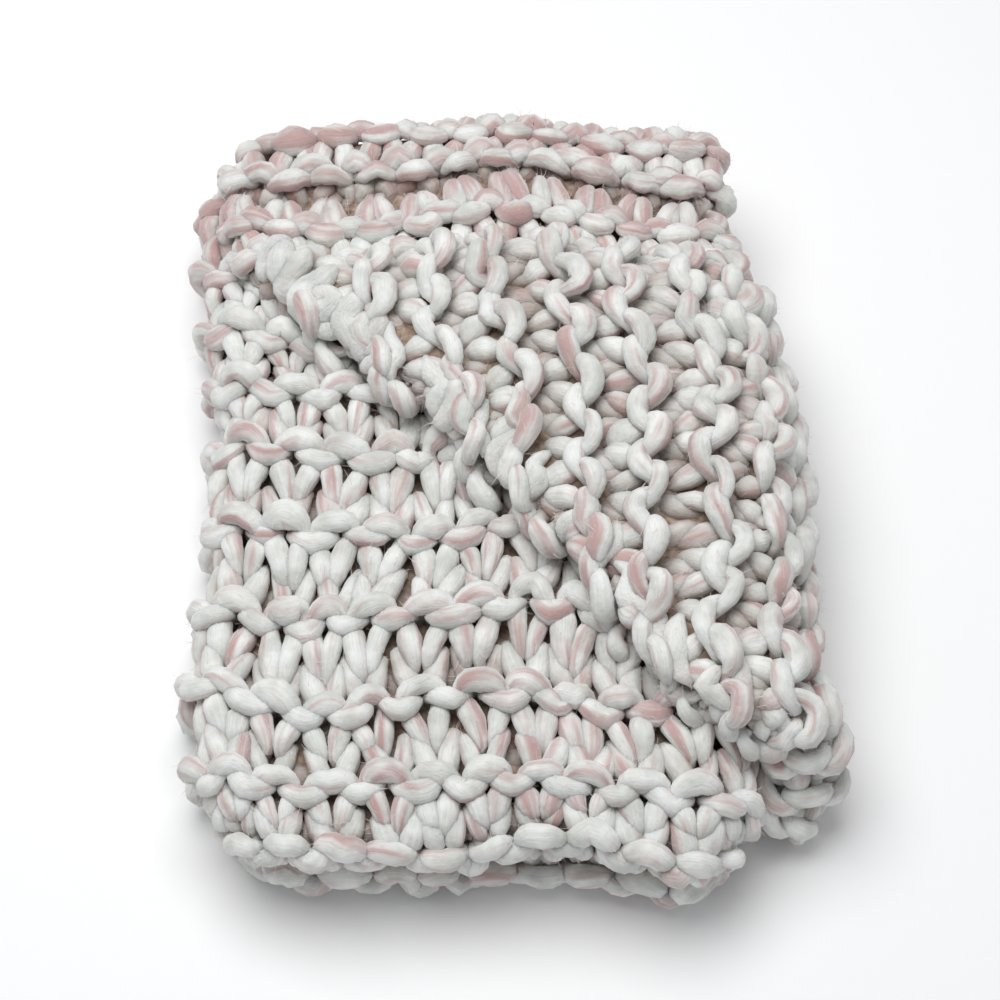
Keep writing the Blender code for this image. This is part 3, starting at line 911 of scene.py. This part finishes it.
def add_fibres(name, strands, count, longest, seed):
    """Thin ribbons that leave the strands at a low angle and curl a little."""
    chance = np.random.default_rng(seed)
    points = np.vstack([strand[0] for strand in strands])
    ray = np.vstack([strand[1] for strand in strands])
    radius = np.concatenate([strand[2] for strand in strands])
    along = np.vstack([np.gradient(strand[0], axis=0) for strand in strands])
    pick = chance.integers(0, len(points), count)
    along = along[pick] / np.linalg.norm(along[pick], axis=1, keepdims=True)
    side = np.cross(along, ray[pick])
    side /= np.linalg.norm(side, axis=1, keepdims=True)
    turn = chance.normal(0, FIBRE_ROUND, (count, 1))
    off = np.cross(side, along) * np.cos(turn) + side * np.sin(turn)
    root = points[pick] + off * radius[pick, None] * FIBRE_ROOT
    heading = along * chance.choice((-1, 1), (count, 1)) + off * chance.uniform(*FIBRE_LIFT, (count, 1))
    heading += chance.normal(0, FIBRE_STRAY, (count, 3))
    heading /= np.linalg.norm(heading, axis=1, keepdims=True)
    curl = chance.normal(0, FIBRE_CURL, (count, 3)) - off * FIBRE_DROOP
    length = chance.uniform(*FIBRE_LENGTHS, (count, 1)) ** FIBRE_SHORTNESS * longest
    width = np.cross(heading, off)
    width *= FIBRE_HALF_WIDTH / np.maximum(np.linalg.norm(width, axis=1, keepdims=True), 1e-6)
    rings = []
    for step in range(FIBRE_STEPS + 1):
        share = step / FIBRE_STEPS
        spot = root + heading * length * share + curl * length * share ** 2 * FIBRE_BEND
        thin = 1 - FIBRE_TAPER * share
        rings.append(np.stack((spot - width * thin, spot + width * thin), axis=1))
    verts = np.stack(rings, axis=1).reshape(-1, 3)
    verts[:, 2] = np.clip(verts[:, 2], FIBRE_LOW, FIBRE_TOP)
    first = np.arange(count)[:, None] * 2 * (FIBRE_STEPS + 1) + 2 * np.arange(FIBRE_STEPS)[None, :]
    faces = np.stack((first, first + 1, first + 3, first + 2), axis=2).reshape(-1, 4)
    mesh = bpy.data.meshes.new(name)
    mesh.from_pydata(verts.tolist(), [], faces.tolist())
    mesh.materials.append(single_fibre)
    piece = bpy.data.objects.new(name, mesh)
    bpy.context.collection.objects.link(piece)
    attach(piece, "root")


# Single wool fibre: white to faintly pink, matt.
single_fibre, shader = new_material("single_wool_fibre")
place = add_node(single_fibre, "ShaderNodeTexCoord")
tint = add_node(single_fibre, "ShaderNodeTexNoise", inputs={"Scale": per_metre(25)},
                links={"Vector": place.outputs["Object"]})
fibre_colour = add_node(single_fibre, "ShaderNodeMix", {"data_type": "RGBA"},
                        {6: linear("#f7f5ef"), 7: linear("#e3cbc8")}, {"Factor": tint.outputs["Fac"]})
single_fibre.node_tree.links.new(fibre_colour.outputs[2], shader.inputs["Base Color"])
shader.inputs["Roughness"].default_value = 0.9

add_fibres("loose_fibres", upper + turned + strip + lumps, FIBRE_COUNT, LONGEST_FIBRES[0], SEED + 5)
add_fibres("loose_fibres_below", lower + roll, FIBRES_BELOW, LONGEST_FIBRES[1], SEED + 6)


# ---- Floor, camera and light ----------------------------------------------------------
bpy.ops.object.select_all(action="DESELECT")
FLOOR_SIZE = 8
bpy.ops.mesh.primitive_plane_add(size=FLOOR_SIZE, location=(0, 0, 0))
floor = bpy.context.object
floor.name = "floor"
paper, shader = new_material("white_paper")
shader.inputs["Base Color"].default_value = linear("#ffffff")
shader.inputs["Roughness"].default_value = 0.9
floor.data.materials.append(paper)

AIM = Vector((-0.001, -0.0075, 0.05))
ELEVATION = math.radians(58)
DISTANCE = 1.75
lens = bpy.data.cameras.new("camera")
lens.lens = 102.9
lens.sensor_width = 36
camera = bpy.data.objects.new("camera", lens)
camera.location = AIM + DISTANCE * Vector((0, -math.cos(ELEVATION), math.sin(ELEVATION)))
camera.rotation_euler = (math.pi / 2 - ELEVATION, 0, 0)
bpy.context.collection.objects.link(camera)
bpy.context.scene.camera = camera

SOFT_BOX_PLACE = Vector((-0.26, 0.22, 1.9))
soft_box = bpy.data.lights.new("soft_box", "AREA")
soft_box.shape = "DISK"
soft_box.size = 1.6
soft_box.energy = 29.3
soft_box_object = bpy.data.objects.new("soft_box", soft_box)
soft_box_object.location = SOFT_BOX_PLACE
soft_box_object.rotation_euler = SOFT_BOX_PLACE.to_track_quat("Z", "Y").to_euler()
bpy.context.collection.objects.link(soft_box_object)

sky = bpy.data.worlds.new("studio")
sky.use_nodes = True
sky.node_tree.nodes["Background"].inputs["Color"].default_value = linear("#f4f6fa")
sky.node_tree.nodes["Background"].inputs["Strength"].default_value = 0.38
bpy.context.scene.world = sky
bpy.context.scene.view_settings.view_transform = "Standard"
